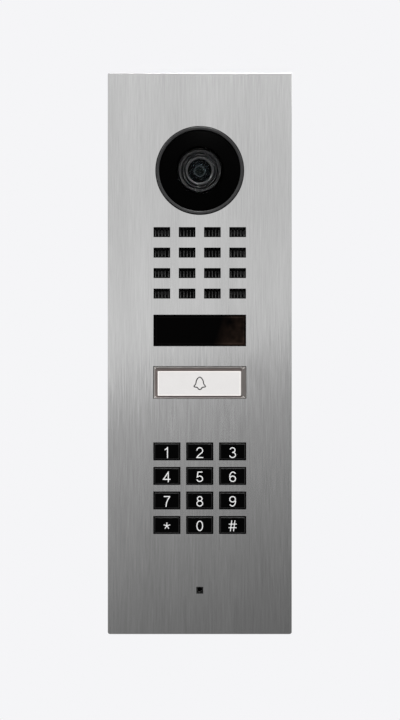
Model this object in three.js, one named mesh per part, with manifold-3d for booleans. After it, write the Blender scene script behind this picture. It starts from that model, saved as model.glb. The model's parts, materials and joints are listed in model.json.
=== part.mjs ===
// Door intercom panel: a brushed steel front plate over a surface-mount rear housing, with a camera, a speaker,
// a sensor window, one call button, a twelve-key keypad and a microphone. Units are millimetres.
//
// Every piece is modelled in panel coordinates: x to the right, y up, z out of the wall, with the wall at z = 0
// and the middle of the panel at x = y = 0. The exported group turns them so that +Z is up and the front faces -Y.
import * as THREE from "three";
import { mergeVertices } from "three/addons/utils/BufferGeometryUtils.js";
import Module from "manifold-3d";

const wasm = await Module();
wasm.setup();

// ---------------------------------------------------------------- driving dimensions

const GAP = 0.3; // assembly gap between pieces that touch
const PANEL = { width: 75, height: 228.6 };
const PLATE = { back: 28, front: 30, bottomRadius: 0.9, topRadius: 0.4 };
const BLOCK_WIDTH = 37.7; // the slots, the sensor window and the keypad share this width

const CAMERA = { y: 74.7, holeRadius: 17.7, flangeRadius: 18.1 };
const SPEAKER = { y: 37.05, columns: 4, rows: 4, pitchX: 10.3, pitchY: 8.35, slotWidth: 6.7, slotHeight: 4.0 };
const SENSOR = { y: 9.5, height: 12.7 };
const BUTTON = { y: -11.7, width: 38.0, height: 13.3 };
const LABEL = { x: -0.2, y: -12.1, width: 33.9, height: 10.1 }; // set a little low and left in the button
const KEYPAD = { y: -54.8, pitchX: 13.4, pitchY: 10.0, openWidth: 11.0, openHeight: 7.25 };
const MICROPHONE = { y: -96.4, hole: 2.8 };
const KEY_NAMES = [
  ["key_1", "key_2", "key_3"],
  ["key_4", "key_5", "key_6"],
  ["key_7", "key_8", "key_9"],
  ["key_star", "key_0", "key_hash"],
];

const HOUSING = { inset: 0.5, wall: 1.5, back: 2.5, front: 26.5, lip: 4, lipThickness: 1.5, radius: 1.3 };
const CHASSIS = { width: 64, height: 212, wall: 1.8, back: 12.3, faceBack: 25.4 };
const MAIN_BOARD = { width: 62, height: 208, back: 10.4, front: 12.0 };
const STUD = { x: 27, y: 97, radius: 2.75, length: 5 };
const CABLE_ENTRY = { y: -62, holeRadius: 10, recessRadius: 13, recessDepth: 1.2, cableRadius: 4 };
const WALL_SCREW = { x: 24, y: 84, radius: 2.5, countersinkRadius: 4.8 };
const SECURITY_SCREW = { z: 15, radius: 1.5, headRadius: 2.9 };
const FRONT_BOARD = { y: -2, width: 54, height: 39, back: 18.0, front: 19.2, postX: 24, postY: 16.5 };
const KEY_BOARD = { width: 56, height: 46, back: 20.0, front: 21.2, postX: 25.5, postY: 19 };

const FINE = 32; // facets of the large round pieces
const MEDIUM = 20;
const COARSE = 12;

// ---------------------------------------------------------------- solids

// A closed geometry as a manifold-3d solid, with its faces turned outwards.
function solid(geometry) {
  const bare = new THREE.BufferGeometry().setAttribute(
    "position",
    (geometry.index ? geometry.toNonIndexed() : geometry).getAttribute("position"),
  );
  const merged = mergeVertices(bare, 1e-4);
  const kept = [];
  for (let i = 0; i < merged.index.count; i += 3) {
    const [a, b, c] = [merged.index.getX(i), merged.index.getX(i + 1), merged.index.getX(i + 2)];
    if (a !== b && b !== c && c !== a) kept.push(a, b, c);
  }
  const vertProperties = new Float32Array(merged.attributes.position.array);
  const build = (triVerts) => new wasm.Manifold(new wasm.Mesh({ numProp: 3, vertProperties, triVerts }));
  const made = build(new Uint32Array(kept));
  if (made.volume() > 0) return made;
  for (let i = 0; i < kept.length; i += 3) [kept[i + 1], kept[i + 2]] = [kept[i + 2], kept[i + 1]];
  return build(new Uint32Array(kept));
}

function geometryOf(made) {
  const mesh = made.getMesh();
  const position = new Float32Array(mesh.numVert * 3);
  for (let i = 0; i < mesh.numVert; i++) {
    position.set(mesh.vertProperties.subarray(i * mesh.numProp, i * mesh.numProp + 3), i * 3);
  }
  const geometry = new THREE.BufferGeometry();
  geometry.setAttribute("position", new THREE.BufferAttribute(position, 3));
  geometry.setIndex(new THREE.BufferAttribute(mesh.triVerts, 1));
  geometry.computeVertexNormals();
  return geometry;
}

const join = (first, ...others) => others.reduce((sum, next) => sum.add(next), first);
const cut = (first, ...tools) => tools.reduce((rest, tool) => rest.subtract(tool), first);

// ---------------------------------------------------------------- shapes

// A rectangle with round corners, in counter-clockwise order; the lower and upper corners may differ.
function roundedRectangle(width, height, x, y, lower = 0, upper = lower, steps = 3) {
  const corners = [
    [1, -1, lower],
    [1, 1, upper],
    [-1, 1, upper],
    [-1, -1, lower],
  ];
  const points = corners.flatMap(([sx, sy, radius], turn) => {
    const [centreX, centreY] = [x + sx * (width / 2 - radius), y + sy * (height / 2 - radius)];
    const count = radius ? steps : 0;
    return Array.from({ length: count + 1 }, (_, i) => {
      const angle = (turn - 1 + (count && i / count)) * (Math.PI / 2);
      return new THREE.Vector2(centreX + radius * Math.cos(angle), centreY + radius * Math.sin(angle));
    });
  });
  return new THREE.Shape(points);
}

// A flat outline extruded from z = back to z = front.
function extruded(outline, back, front) {
  const geometry = new THREE.ExtrudeGeometry(outline, { depth: front - back, bevelEnabled: false });
  return solid(geometry.translate(0, 0, back));
}

function slab(width, height, back, front, x = 0, y = 0, radius = 0) {
  return extruded(roundedRectangle(width, height, x, y, radius), back, front);
}

// A slab whose front edges slope inwards by the inset.
function taperedSlab(width, height, back, front, inset, x = 0, y = 0) {
  const geometry = new THREE.BoxGeometry(width, height, front - back);
  const position = geometry.getAttribute("position");
  for (let i = 0; i < position.count; i++) {
    if (position.getZ(i) < 0) continue;
    position.setX(i, position.getX(i) - Math.sign(position.getX(i)) * inset);
    position.setY(i, position.getY(i) - Math.sign(position.getY(i)) * inset);
  }
  return solid(geometry.translate(x, y, (back + front) / 2));
}

function rod(radius, back, front, x = 0, y = 0, facets = COARSE, frontRadius = radius) {
  const geometry = new THREE.CylinderGeometry(frontRadius, radius, front - back, facets);
  return solid(geometry.rotateX(Math.PI / 2).translate(x, y, (back + front) / 2));
}

// A profile of [radius, z] points turned round the z axis at (x, y).
function turned(profile, x = 0, y = 0, facets = MEDIUM) {
  const points = profile.map(([radius, z]) => new THREE.Vector2(radius, z));
  const onAxis = profile[0][0] === 0 && profile.at(-1)[0] === 0;
  if (!onAxis) points.push(points[0].clone());
  return solid(new THREE.LatheGeometry(points, facets).rotateX(Math.PI / 2).translate(x, y, 0));
}

function ring(inner, outer, back, front, x = 0, y = 0, facets = FINE) {
  return turned([[inner, back], [outer, back], [outer, front], [inner, front]], x, y, facets);
}

// Points of a spherical cap: from the rim radius at z = rim to the axis at z = rim + sag.
function capArc(rimRadius, rim, sag, steps) {
  const radius = (rimRadius ** 2 + sag ** 2) / (2 * sag);
  const halfAngle = Math.asin(rimRadius / radius);
  return Array.from({ length: steps + 1 }, (_, i) => {
    const angle = halfAngle * (1 - i / steps);
    return [i === steps ? 0 : radius * Math.sin(angle), rim + sag - radius * (1 - Math.cos(angle))];
  });
}

class Helix extends THREE.Curve {
  constructor(radius, back, front, turns, x, y) {
    super();
    Object.assign(this, { radius, back, front, turns, x, y });
  }
  getPoint(t, target = new THREE.Vector3()) {
    const angle = 2 * Math.PI * this.turns * t;
    const z = this.back + (this.front - this.back) * t;
    return target.set(this.x + this.radius * Math.cos(angle), this.y + this.radius * Math.sin(angle), z);
  }
}

function coilSpring(radius, wire, back, front, turns, x, y) {
  const section = new THREE.Shape().absarc(0, 0, wire, 0, 2 * Math.PI);
  const extrudePath = new Helix(radius, back + wire, front - wire, turns, x, y);
  const options = { extrudePath, steps: turns * 9, curveSegments: 2, bevelEnabled: false };
  return solid(new THREE.ExtrudeGeometry(section, options));
}

// ---------------------------------------------------------------- materials

const finish = (color, roughness, metalness = 0) => new THREE.MeshStandardMaterial({ color, roughness, metalness });
const STEEL = finish(0xb4b4b2, 0.35, 1);
const BRIGHT_METAL = finish(0xc4c4c4, 0.25, 1);
const BRASS = finish(0xb89a54, 0.35, 1);
const BLACK_PLASTIC = finish(0x161617, 0.45);
const GLOSS_BLACK = finish(0x050505, 0.08);
const GREY_PLASTIC = finish(0x444446, 0.4);
const SMOKE_PLASTIC = finish(0x6f6a67, 0.35);
const CLEAR = finish(0xd9dde0, 0.05);
const COATED_GLASS = finish(0x16201f, 0.03);
const WHITE_FILM = finish(0xe8e6e4, 0.6);
const RUBBER = finish(0x1b1b1c, 0.8);
const SILICONE = finish(0x6d7073, 0.7);
const CIRCUIT_BOARD = finish(0x1d4a33, 0.5);
const PAPER_CONE = finish(0x26262a, 0.85);
const FERRITE = finish(0x3a3b3f, 0.5, 0.4);
const FLEX_FILM = finish(0xb0702a, 0.45);
const CHIP = finish(0x202124, 0.4);
const TERMINAL_GREEN = finish(0x2f7d4a, 0.5);

const panel = new THREE.Group();

function add(name, made, material) {
  const mesh = new THREE.Mesh(geometryOf(made), material);
  mesh.name = name;
  panel.add(mesh);
}

// ---------------------------------------------------------------- places used by more than one piece

const mirrored = [[-1, 1], [1, 1], [-1, -1], [1, -1]];
const spread = (count, pitch) => Array.from({ length: count }, (_, i) => (i - (count - 1) / 2) * pitch);
const slotPlaces = spread(SPEAKER.rows, SPEAKER.pitchY).flatMap((dy) =>
  spread(SPEAKER.columns, SPEAKER.pitchX).map((dx) => [dx, SPEAKER.y + dy]),
);
const keyPlaces = KEY_NAMES.flatMap((row, r) =>
  row.map((name, c) => ({ name, x: (c - 1) * KEYPAD.pitchX, y: KEYPAD.y + (1.5 - r) * KEYPAD.pitchY })),
);
const housingWidth = PANEL.width - 2 * HOUSING.inset;
const housingHeight = PANEL.height - 2 * HOUSING.inset;
const lipWidth = housingWidth - 2 * HOUSING.lip;
const lipHeight = housingHeight - 2 * HOUSING.lip;

// ---------------------------------------------------------------- front plate

function frontPlate() {
  const outline = roundedRectangle(PANEL.width, PANEL.height, 0, 0, PLATE.bottomRadius, PLATE.topRadius);
  const opening = (width, height, x, y) => slab(width, height, PLATE.back - 1, PLATE.front + 1, x, y);
  const sheet = cut(
    extruded(outline, PLATE.back, PLATE.front),
    rod(CAMERA.holeRadius, PLATE.back - 1, PLATE.front + 1, 0, CAMERA.y, FINE),
    ...slotPlaces.map(([x, y]) => opening(SPEAKER.slotWidth, SPEAKER.slotHeight, x, y)),
    opening(BLOCK_WIDTH, SENSOR.height, 0, SENSOR.y),
    opening(BUTTON.width, BUTTON.height, 0, BUTTON.y),
    ...keyPlaces.map(({ x, y }) => opening(KEYPAD.openWidth, KEYPAD.openHeight, x, y)),
    opening(MICROPHONE.hole, MICROPHONE.hole, 0, MICROPHONE.y),
  );
  const studs = mirrored.map(([sx, sy]) => {
    const [x, y] = [sx * STUD.x, sy * STUD.y];
    const back = PLATE.back - STUD.length;
    return cut(rod(STUD.radius, back, PLATE.back + 0.5, x, y), rod(1.65, back - 1, PLATE.back - 0.4, x, y, 10));
  });
  return join(sheet, ...studs);
}

// A strip that hooks behind the upper lip of the housing.
function topHook() {
  const [width, root] = [30, lipHeight / 2 - 0.4];
  const back = HOUSING.front - HOUSING.lipThickness - 0.4;
  return join(
    slab(width, 3, PLATE.back - GAP - 1, PLATE.back - GAP, 0, root - 1.5),
    slab(width, 1.6, back - 1.4, PLATE.back - GAP, 0, root - 0.8),
    slab(width, 4, back - 1.4, back, 0, root + 0.4),
  );
}

// An angle under the chassis that takes the security screw.
function lowerBracket() {
  const [width, bottom] = [16, -lipHeight / 2 + 0.4];
  const leg = slab(width, 2, 10, PLATE.back - GAP, 0, bottom + 1);
  const foot = slab(width, 3, PLATE.back - GAP - 1.2, PLATE.back - GAP, 0, bottom + 1.5);
  const hole = solid(
    new THREE.CylinderGeometry(SECURITY_SCREW.radius + GAP, SECURITY_SCREW.radius + GAP, 8, COARSE)
      .translate(0, bottom, SECURITY_SCREW.z),
  );
  return cut(join(leg, foot), hole);
}

// ---------------------------------------------------------------- rear housing

function rearHousing() {
  const { wall, back, front, lipThickness, radius } = HOUSING;
  const bottom = -housingHeight / 2;
  const holes = mirrored.flatMap(([sx, sy]) => {
    const [x, y] = [sx * WALL_SCREW.x, sy * WALL_SCREW.y];
    return [
      rod(WALL_SCREW.radius, -1, back + 1, x, y, 16),
      rod(WALL_SCREW.radius, back - 1.3, back + 0.01, x, y, 16, WALL_SCREW.countersinkRadius),
    ];
  });
  const upright = (lowRadius, highRadius, low, high, x, z, facets) =>
    solid(new THREE.CylinderGeometry(highRadius, lowRadius, high - low, facets).translate(x, (low + high) / 2, z));
  const screw = SECURITY_SCREW;
  return cut(
    slab(housingWidth, housingHeight, 0, front, 0, 0, radius),
    slab(housingWidth - 2 * wall, housingHeight - 2 * wall, back, front - lipThickness, 0, 0, radius),
    slab(lipWidth, lipHeight, front - lipThickness - 0.1, front + 1, 0, 0, 1),
    rod(CABLE_ENTRY.holeRadius, -1, back + 1, 0, CABLE_ENTRY.y, MEDIUM),
    rod(CABLE_ENTRY.recessRadius, -1, CABLE_ENTRY.recessDepth, 0, CABLE_ENTRY.y, MEDIUM),
    ...holes,
    upright(screw.radius + GAP, screw.radius + GAP, bottom - 1, bottom + wall + 1, 0, screw.z, COARSE),
    upright(screw.headRadius + 0.6, screw.radius + GAP, bottom - 0.01, bottom + 1.3, 0, screw.z, COARSE),
    ...[-22, 22].map((x) => upright(1.5, 1.5, bottom - 1, bottom + wall + 1, x, 8, 10)),
  );
}

function housingGasket() {
  const [outer, inner, back, front] = [1, 6.4, HOUSING.front + GAP, PLATE.back - GAP];
  return cut(
    slab(housingWidth - outer, housingHeight - outer, back, front, 0, 0, 1),
    slab(housingWidth - inner, housingHeight - inner, back - 1, front + 1, 0, 0, 1),
  );
}

function cableGrommet() {
  const { y, holeRadius, recessRadius, recessDepth, cableRadius } = CABLE_ENTRY;
  const neck = holeRadius - GAP;
  return turned(
    [
      [cableRadius, 0.2],
      [recessRadius - GAP, 0.2],
      [recessRadius - GAP, recessDepth - GAP],
      [neck, recessDepth - GAP],
      [neck, HOUSING.back + GAP],
      [holeRadius + 2.5, HOUSING.back + GAP],
      [holeRadius + 1.6, HOUSING.back + 1.5],
      [cableRadius, HOUSING.back + 1.5],
    ],
    0,
    y,
  );
}

// A countersunk screw that points up, with a hexagonal socket in its head.
function securityScrew() {
  const { z, radius, headRadius } = SECURITY_SCREW;
  const bottom = -housingHeight / 2;
  const screw = turned([[0, 0], [headRadius, 0], [radius, 1.1], [radius, 7], [radius - 0.4, 7.4], [0, 7.4]], 0, 0, COARSE);
  const socket = rod(1.15, -1, 0.9, 0, 0, 6);
  return cut(screw, socket).rotate([-90, 0, 0]).translate([0, bottom + 0.15, z]);
}

// ---------------------------------------------------------------- inner chassis and boards

function innerChassis() {
  const { width, height, wall, back, faceBack } = CHASSIS;
  const face = PLATE.back - GAP;
  const shell = cut(
    slab(width, height, back, face, 0, 0, 2),
    slab(width - 2 * wall, height - 2 * wall, back - 1, faceBack, 0, 0, 1.2),
  );
  const bosses = mirrored.map(([sx, sy]) => rod(STUD.radius + 1.75, back, faceBack + 1, sx * STUD.x, sy * STUD.y));
  const posts = mirrored.flatMap(([sx, sy]) => [
    rod(2, FRONT_BOARD.front + GAP, faceBack + 1, sx * FRONT_BOARD.postX, FRONT_BOARD.y + sy * FRONT_BOARD.postY, 10),
    rod(2, KEY_BOARD.front + GAP, faceBack + 1, sx * KEY_BOARD.postX, KEYPAD.y + sy * KEY_BOARD.postY, 10),
  ]);
  const speakerWell = rod(18.6, 15, faceBack + 1, 0, SPEAKER.y, MEDIUM);
  const screwPaths = mirrored.flatMap(([sx, sy]) => [
    rod(1.6, back - 1, face + 1, sx * STUD.x, sy * STUD.y, 10),
    rod(STUD.radius + GAP, PLATE.back - STUD.length - GAP, face + 1, sx * STUD.x, sy * STUD.y),
  ]);
  return cut(
    join(shell, ...bosses, ...posts, speakerWell),
    rod(17.3, 14, faceBack, 0, SPEAKER.y, MEDIUM),
    rod(15, faceBack - 1, face + 1, 0, SPEAKER.y, MEDIUM),
    slab(41, 32.2, face - 1.4, face + 1, 0, SPEAKER.y),
    rod(20.1, 14, face + 1, 0, CAMERA.y, FINE),
    slab(BLOCK_WIDTH + 3.7, SENSOR.height + 3.7, faceBack - 1, face + 1, 0, SENSOR.y),
    slab(BUTTON.width + 3.6, BUTTON.height + 4.3, faceBack - 1, face + 1, 0, BUTTON.y),
    slab(3 * KEYPAD.pitchX, 4 * KEYPAD.pitchY, faceBack - 1, face + 1, 0, KEYPAD.y),
    rod(5, faceBack - 1, face + 1, 0, MICROPHONE.y, COARSE),
    ...screwPaths,
  );
}

function mainBoard() {
  const { width, height, back, front } = MAIN_BOARD;
  const holes = mirrored.map(([sx, sy]) => rod(1.6, back - 1, front + 1, sx * STUD.x, sy * STUD.y, 10));
  return cut(slab(width, height, back, front, 0, 0, 1), ...holes);
}

function chassisScrew(x, y) {
  const head = MAIN_BOARD.back - GAP;
  const screw = turned([[0, head - 1.8], [2.2, head - 1.8], [2.6, head - 1.2], [2.6, head], [1.25, head], [1.25, 26.4], [0, 26.4]], x, y, COARSE);
  return cut(screw, slab(3, 0.6, head - 3, head - 0.9, x, y), slab(0.6, 3, head - 3, head - 0.9, x, y));
}

function terminalBlock() {
  const [poles, pitch, y] = [8, 3.5, -22];
  const [back, front] = [3.9, MAIN_BOARD.back - GAP];
  const housing = join(
    slab(poles * pitch + 1, 7, back, front, 0, y),
    slab(poles * pitch + 1, 2.4, front - 3, front, 0, y + 4.4),
  );
  const openings = spread(poles, pitch).flatMap((x) => [
    slab(2.3, 6, back + 1.4, back + 4, x, y - 3.5),
    rod(1.15, back - 1, back + 1, x, y, 8),
  ]);
  return cut(housing, ...openings);
}

function processorShield() {
  const [width, height, y] = [26, 32, 34];
  const [back, front] = [MAIN_BOARD.back - GAP - 3, MAIN_BOARD.back - GAP];
  return cut(slab(width, height, back, front, 0, y, 1), slab(width - 1, height - 1, back + 0.5, front + 1, 0, y, 0.6));
}

// ---------------------------------------------------------------- camera

const BEZEL = { tubeRadius: 17.4, seatRadius: 16.6, boreRadius: 15, back: 24.5, seat: 29.3, front: 31.6 };
const DOME = { radius: 16.3, rim: 30.7, sag: 2.2, wall: 1.2 };
const LENS = { y: CAMERA.y, barrelRadius: 6.05, faceRadius: 4.7 };

function cameraBezel() {
  const { tubeRadius, seatRadius, boreRadius, back, seat, front } = BEZEL;
  const lip = PLATE.front + GAP;
  return turned(
    [
      [boreRadius, back],
      [tubeRadius, back],
      [tubeRadius, lip],
      [CAMERA.flangeRadius, lip],
      [CAMERA.flangeRadius, front - 0.5],
      [CAMERA.flangeRadius - 0.5, front],
      [seatRadius + 0.3, front],
      [seatRadius, front - 0.3],
      [seatRadius, seat],
      [boreRadius, seat],
    ],
    0,
    CAMERA.y,
    FINE,
  );
}

function cameraDome() {
  const { radius, rim, sag, wall } = DOME;
  const inside = capArc(radius - wall, rim, sag - wall + 0.25, 4).reverse();
  const outside = capArc(radius, rim, sag, 5);
  return turned([...inside, [radius - wall, BEZEL.seat + GAP], [radius, BEZEL.seat + GAP], ...outside], 0, CAMERA.y, FINE);
}

function lensTrimRing() {
  return turned(
    [[6.4, 24], [9, 24], [9, 28.3], [8.6, 28.9], [7.5, 28.6], [6.9, 29.3], [6.4, 29.1]],
    0,
    LENS.y,
    FINE,
  );
}

function lensBarrel() {
  const { barrelRadius, faceRadius } = LENS;
  return turned(
    [
      [3.9, 15.3],
      [5.6, 15.3],
      [5.6, 23.6],
      [barrelRadius, 23.6],
      [barrelRadius, 29.3],
      [5.6, 29.9],
      [faceRadius + 0.2, 29.5],
      [faceRadius + 0.2, 26.4],
      [2.1, 26.0],
      [2.1, 25.6],
      [3.9, 25.4],
    ],
    0,
    LENS.y,
    24,
  );
}

const lensFrontElement = () =>
  turned([...capArc(3.4, 26.7, 1.1, 3).reverse(), [4.6, 26.7], [4.6, 28.9], ...capArc(4.5, 28.9, 2.1, 4)], 0, LENS.y, 24);

const lensRearElement = () =>
  turned([[0, 21.3], [2.4, 21.7], [3.6, 22.3], [3.6, 24], ...capArc(3.4, 24, 1.1, 4)], 0, LENS.y);

function lensHolder() {
  const [side, back, front] = [16, 13.9, 17.4];
  const body = join(slab(side, side, back, front, 0, LENS.y, 1), ring(6.2, 7.7, front - 1, 23.2, 0, LENS.y, MEDIUM));
  return cut(body, rod(6, 15, 24, 0, LENS.y, MEDIUM), slab(9, 9, back - 1, 15.1, 0, LENS.y));
}

function infraredRing() {
  const [inner, outer, back, front, count] = [9.9, 14.4, 24.9, 25.7, 6];
  const lamps = Array.from({ length: count }, (_, i) => {
    const angle = ((i + 0.5) * 2 * Math.PI) / count;
    return slab(2.8, 2.8, front - 0.2, front + 1, 12.1 * Math.cos(angle), LENS.y + 12.1 * Math.sin(angle));
  });
  return join(ring(inner, outer, back, front, 0, LENS.y), ...lamps);
}

// A film strip from the camera board up to the main board, along an S in the y-z plane.
function cameraFlexCable() {
  const [width, thickness, steps] = [12, 0.25, 5];
  const [start, low, high, end] = [84, 90.4, 96, 100];
  const [nearCamera, onBoard] = [13.95, MAIN_BOARD.front + GAP];
  const bend = Array.from({ length: steps + 1 }, (_, i) => {
    const ease = (1 - Math.cos((Math.PI * i) / steps)) / 2;
    return [low + ((high - low) * i) / steps, nearCamera + (onBoard - nearCamera) * ease];
  });
  const line = [[start, nearCamera], ...bend, [end, onBoard]];
  const edge = [...line, ...line.map(([y, z]) => [y, z + thickness]).reverse()];
  const outline = new THREE.Shape(edge.map(([y, z]) => new THREE.Vector2(-z, y)));
  const strip = new THREE.ExtrudeGeometry(outline, { depth: width, bevelEnabled: false });
  return solid(strip.translate(0, 0, -width / 2).rotateY(Math.PI / 2));
}

// ---------------------------------------------------------------- speaker

function speakerGrille() {
  const [width, height, slits, pitch] = [40.4, 31.6, 16, 2.4];
  const [back, front] = [PLATE.back - GAP - 1.1, PLATE.back - GAP];
  return cut(
    slab(width, height, back, front, 0, SPEAKER.y),
    ...spread(slits, pitch).map((x) => slab(1.1, height - 4, back - 1, front + 1, x, SPEAKER.y)),
  );
}

const speakerGasket = () => ring(14.4, 16.9, 23.6, 25.1, 0, SPEAKER.y, MEDIUM);

const speakerBasket = () =>
  turned(
    [[7.6, 16.6], [12.2, 16.6], [14.6, 22.3], [16.9, 22.3], [16.9, 23.3], [14.1, 23.3], [11.7, 17.4], [7.6, 17.4]],
    0,
    SPEAKER.y,
    MEDIUM,
  );

const speakerMagnet = () =>
  turned([[0, 12.6], [11.5, 12.6], [11.5, 16.3], [7, 16.3], [7, 13.8], [5.4, 13.8], [5.4, 17.6], [0, 17.6]], 0, SPEAKER.y);

function speakerCone() {
  const cap = capArc(6.2, 20.4, 1.6, 4);
  return turned(
    [
      [0, 21.5],
      [5.9, 20],
      [5.9, 14.8],
      [6.5, 14.8],
      [6.5, 18.8],
      [11.6, 21.6],
      [12.3, 22.1],
      [12.9, 21.8],
      [13.1, 22],
      [12.3, 22.6],
      [11.4, 22.1],
      [6.4, 19.6],
      ...cap,
    ],
    0,
    SPEAKER.y,
    MEDIUM,
  );
}

// ---------------------------------------------------------------- sensors

const sensorWindow = () =>
  join(
    slab(BLOCK_WIDTH - 2 * GAP, SENSOR.height - 2 * GAP, 27, PLATE.front - 0.4, 0, SENSOR.y, 0.4),
    slab(BLOCK_WIDTH + 3.1, SENSOR.height + 3.1, 26.6, PLATE.back - GAP, 0, SENSOR.y, 0.8),
  );

const frontBoard = () =>
  slab(FRONT_BOARD.width, FRONT_BOARD.height, FRONT_BOARD.back, FRONT_BOARD.front, 0, FRONT_BOARD.y, 1);

const motionSensor = () =>
  turned([[0, 19.5], [4.6, 19.5], [4.6, 20.1], [4.1, 20.1], [4.1, 23.6], [3.8, 23.9], [0, 23.9]], -8, SENSOR.y);

// ---------------------------------------------------------------- call button

const BUTTON_SPRING = { x: 14, radius: 2, wire: 0.24, turns: 5 };
const SWITCH = { side: 6.2, back: 19.5, front: 21.9, plungerRadius: 1.6 };

function callButtonCap() {
  const pocket = slab(LABEL.width + 2 * GAP, LABEL.height + 2 * GAP, 27, PLATE.back + 0.9, LABEL.x, LABEL.y);
  const [width, height] = [BUTTON.width - 2 * GAP, BUTTON.height - 2 * GAP];
  return cut(
    join(
      slab(width, height, PLATE.back, PLATE.front, 0, BUTTON.y),
      taperedSlab(width, height, PLATE.front - 0.001, PLATE.front + 0.6, 0.6, 0, BUTTON.y),
    ),
    pocket,
  );
}

const callButtonLabel = () =>
  slab(LABEL.width, LABEL.height, PLATE.back + GAP, PLATE.back + 2 * GAP, LABEL.x, LABEL.y);

function callButtonCarrier() {
  const [back, front] = [26.2, PLATE.back - GAP];
  return join(
    slab(BUTTON.width + 2.8, BUTTON.height + 3.1, back, front, 0, BUTTON.y, 0.8),
    rod(2, 23.3, back + 0.5, 0, BUTTON.y, COARSE),
    ...[-1, 1].map((side) => rod(1.2, 23.8, back + 0.5, side * BUTTON_SPRING.x, BUTTON.y, 10)),
  );
}

const buttonSpring = (side) =>
  coilSpring(
    BUTTON_SPRING.radius,
    BUTTON_SPRING.wire,
    FRONT_BOARD.front + GAP,
    25.9,
    BUTTON_SPRING.turns,
    side * BUTTON_SPRING.x,
    BUTTON.y,
  );

const buttonSwitch = () =>
  cut(
    slab(SWITCH.side, SWITCH.side, SWITCH.back, SWITCH.front, 0, BUTTON.y, 0.4),
    rod(SWITCH.plungerRadius + GAP, SWITCH.back + 0.5, SWITCH.front + 1, 0, BUTTON.y),
  );

const switchPlunger = () => rod(SWITCH.plungerRadius, 20.9, 23, 0, BUTTON.y);

// ---------------------------------------------------------------- keypad

function keycap({ x, y }) {
  const [width, height] = [KEYPAD.openWidth - 2 * GAP, KEYPAD.openHeight - 2 * GAP];
  const [back, face] = [26.2, PLATE.front + 0.5];
  return join(
    slab(KEYPAD.pitchX - 1, KEYPAD.pitchY - 1, back, PLATE.back - GAP, x, y),
    slab(width, height, back + 1, face - 0.45, x, y),
    taperedSlab(width, height, face - 0.451, face, 0.45, x, y),
    rod(1.5, 24.8, back + 0.5, x, y, 10),
  );
}

// A silicone mat with one hollow dome under each key.
function keypadMembrane() {
  const [back, sheetFront, domeFront] = [21.5, 22.5, 24.5];
  const sheet = slab(44.6, 44, back, sheetFront, 0, KEYPAD.y, 1.5);
  const domes = keyPlaces.map(({ x, y }) => rod(3.7, sheetFront - 0.2, domeFront, x, y, 12, 2.3));
  const hollows = keyPlaces.map(({ x, y }) => rod(3.3, back - 0.5, domeFront - 0.9, x, y, 12, 1.7));
  return cut(join(sheet, ...domes), ...hollows);
}

const keypadBoard = () => slab(KEY_BOARD.width, KEY_BOARD.height, KEY_BOARD.back, KEY_BOARD.front, 0, KEYPAD.y, 1);

// ---------------------------------------------------------------- microphone

const microphoneBoot = () =>
  turned(
    [[1, PLATE.back - GAP], [4.6, PLATE.back - GAP], [4.6, 20.5], [3.3, 20.5], [3.3, 24.8], [1, 24.8]],
    0,
    MICROPHONE.y,
  );

const microphoneCapsule = () => rod(3, 21.3, 24.5, 0, MICROPHONE.y);

// ---------------------------------------------------------------- the assembly

add("front_plate", frontPlate(), STEEL);
add("top_hook", topHook(), STEEL);
add("lower_bracket", lowerBracket(), STEEL);
add("rear_housing", rearHousing(), STEEL);
add("housing_gasket", housingGasket(), RUBBER);
add("cable_grommet", cableGrommet(), RUBBER);
add("security_screw", securityScrew(), BRIGHT_METAL);

add("inner_chassis", innerChassis(), BLACK_PLASTIC);
add("main_board", mainBoard(), CIRCUIT_BOARD);
mirrored.forEach(([sx, sy], i) => add(`chassis_screw_${i + 1}`, chassisScrew(sx * STUD.x, sy * STUD.y), BRIGHT_METAL));
add("terminal_block", terminalBlock(), TERMINAL_GREEN);
add("processor_shield", processorShield(), BRIGHT_METAL);

add("camera_bezel", cameraBezel(), GREY_PLASTIC);
add("camera_dome", cameraDome(), CLEAR);
add("camera_mask", ring(9.3, 14.7, 27.4, 28.6, 0, CAMERA.y), GLOSS_BLACK);
add("camera_gasket", ring(17.75, 19.8, 27, PLATE.back - GAP, 0, CAMERA.y), RUBBER);
add("camera_clamp_ring", ring(17.75, 19.8, 24.7, 26.7, 0, CAMERA.y), BLACK_PLASTIC);
add("lens_trim_ring", lensTrimRing(), GREY_PLASTIC);
add("lens_barrel", lensBarrel(), BLACK_PLASTIC);
add("lens_front_element", lensFrontElement(), COATED_GLASS);
add("lens_rear_element", lensRearElement(), COATED_GLASS);
add("lens_holder", lensHolder(), BLACK_PLASTIC);
add("image_sensor", slab(7, 7, 13.9, 14.7, 0, LENS.y), CHIP);
add("camera_board", slab(30, 30, 12.4, 13.6, 0, LENS.y, 1), CIRCUIT_BOARD);
add("camera_flex_cable", cameraFlexCable(), FLEX_FILM);
add("infrared_led_ring", infraredRing(), CIRCUIT_BOARD);

add("speaker_grille", speakerGrille(), BLACK_PLASTIC);
add("speaker_gasket", speakerGasket(), RUBBER);
add("speaker_basket", speakerBasket(), BLACK_PLASTIC);
add("speaker_cone", speakerCone(), PAPER_CONE);
add("speaker_magnet", speakerMagnet(), FERRITE);

add("sensor_window", sensorWindow(), GLOSS_BLACK);
add("motion_sensor", motionSensor(), BRASS);
add("front_board", frontBoard(), CIRCUIT_BOARD);

add("call_button_cap", callButtonCap(), CLEAR);
add("call_button_label", callButtonLabel(), WHITE_FILM);
add("call_button_carrier", callButtonCarrier(), SMOKE_PLASTIC);
add("button_spring_left", buttonSpring(-1), BRIGHT_METAL);
add("button_spring_right", buttonSpring(1), BRIGHT_METAL);
add("button_switch", buttonSwitch(), BLACK_PLASTIC);
add("switch_plunger", switchPlunger(), SMOKE_PLASTIC);

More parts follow.
